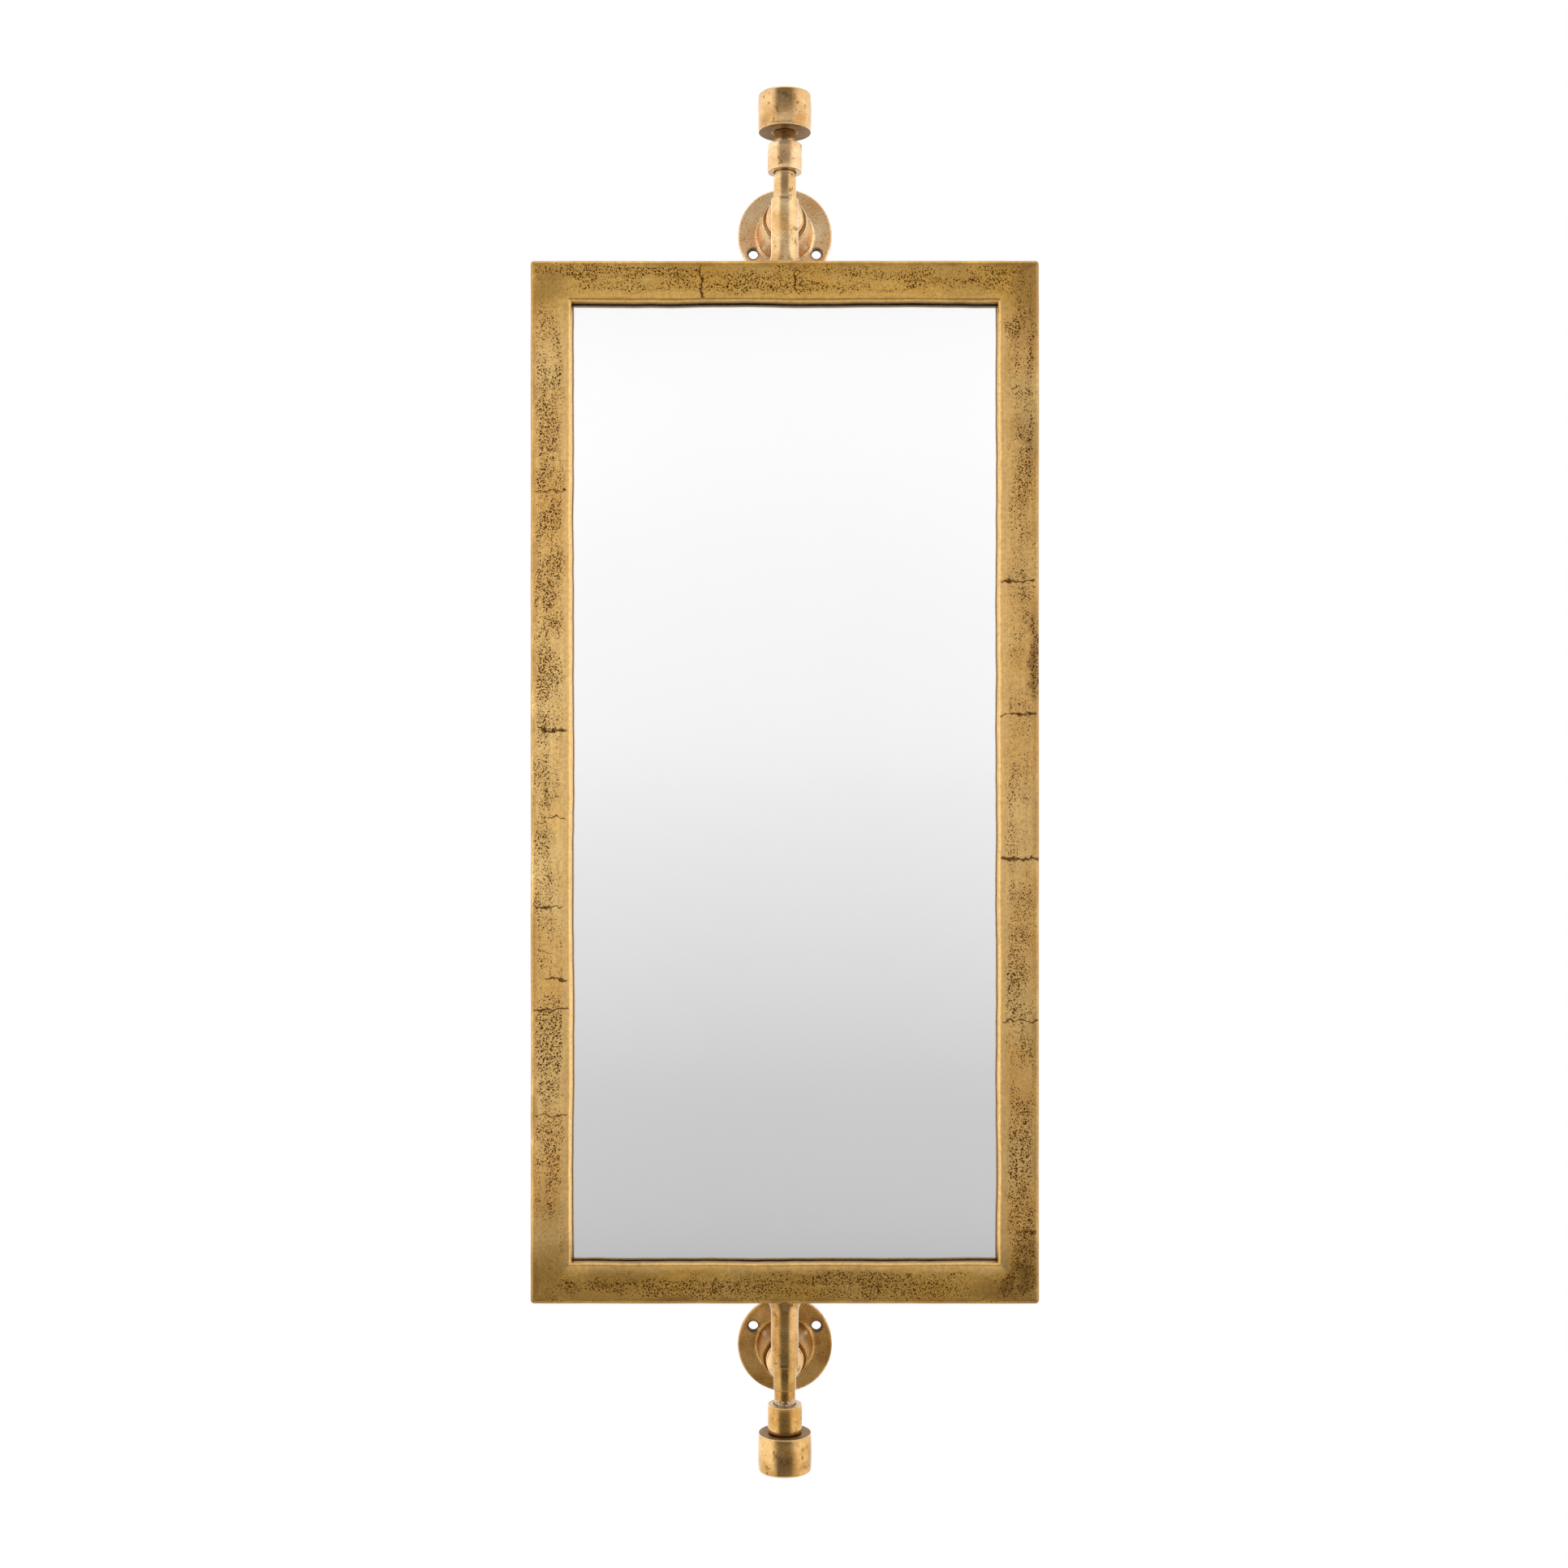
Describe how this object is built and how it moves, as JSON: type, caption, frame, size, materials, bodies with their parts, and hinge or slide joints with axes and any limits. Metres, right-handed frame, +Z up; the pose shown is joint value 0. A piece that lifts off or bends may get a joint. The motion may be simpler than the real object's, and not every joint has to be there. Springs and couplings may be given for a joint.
{
  "type": "pivot wall mirror",
  "caption": "Tall rectangular mirror in a cast brass frame that turns about a vertical axis between an upper and a lower wall bracket with round screw plates.",
  "frame": {"origin": "centre of the top bracket's plate, on the wall", "axes": "+Y into the wall, so the mirror faces -Y; +Z up along the pivot axis; +X to the viewer's right"},
  "size_m": [0.3364, 0.193, 0.9152],
  "materials": {
    "cast_brass": "sand cast, pitted, antiqued and waxed",
    "cast_brass_fittings": "cast, fettled, lightly antiqued",
    "turned_brass": "turned and brushed, antiqued",
    "silvered_glass": "float glass, silvered at the back",
    "foam_rubber": "matt black closed-cell strip",
    "hardboard": "smooth hardboard",
    "card": "corrugated card",
    "black_sheet_steel": "satin black powder coat",
    "black_nylon": "plain",
    "zinc_plated_steel": "zinc plated"
  },
  "bodies": {
    "wall_brackets": {"top_wall_plate": "cast_brass_fittings", "bottom_wall_plate": "cast_brass_fittings", "top_arm": "turned_brass", "bottom_arm": "turned_brass", "top_eye": "turned_brass", "bottom_eye": "turned_brass", "top_eye_bush": "black_nylon", "bottom_eye_bush": "black_nylon", "top_arm_screw": "zinc_plated_steel", "bottom_arm_screw": "zinc_plated_steel", "top_arm_washer": "zinc_plated_steel", "bottom_arm_washer": "zinc_plated_steel"},
    "mirror": {"frame": "cast_brass", "glass_gasket": "foam_rubber", "mirror_glass": "silvered_glass", "backing_board": "hardboard", "card_packing": "card", "back_panel": "black_sheet_steel", "back_panel_screws": "zinc_plated_steel", "top_post": "turned_brass", "bottom_post": "turned_brass", "top_spindle": "turned_brass", "bottom_spindle": "turned_brass", "top_cap": "turned_brass", "bottom_cap": "turned_brass", "top_cap_set_screw": "zinc_plated_steel", "bottom_cap_set_screw": "zinc_plated_steel"}
  },
  "joints": [
    {"name": "mirror_swing", "type": "hinge", "parent": "wall_brackets", "child": "mirror", "pos_m": [0, -0.175, -0.41475], "axis": [0, 0, 1], "continuous": true}
  ]
}
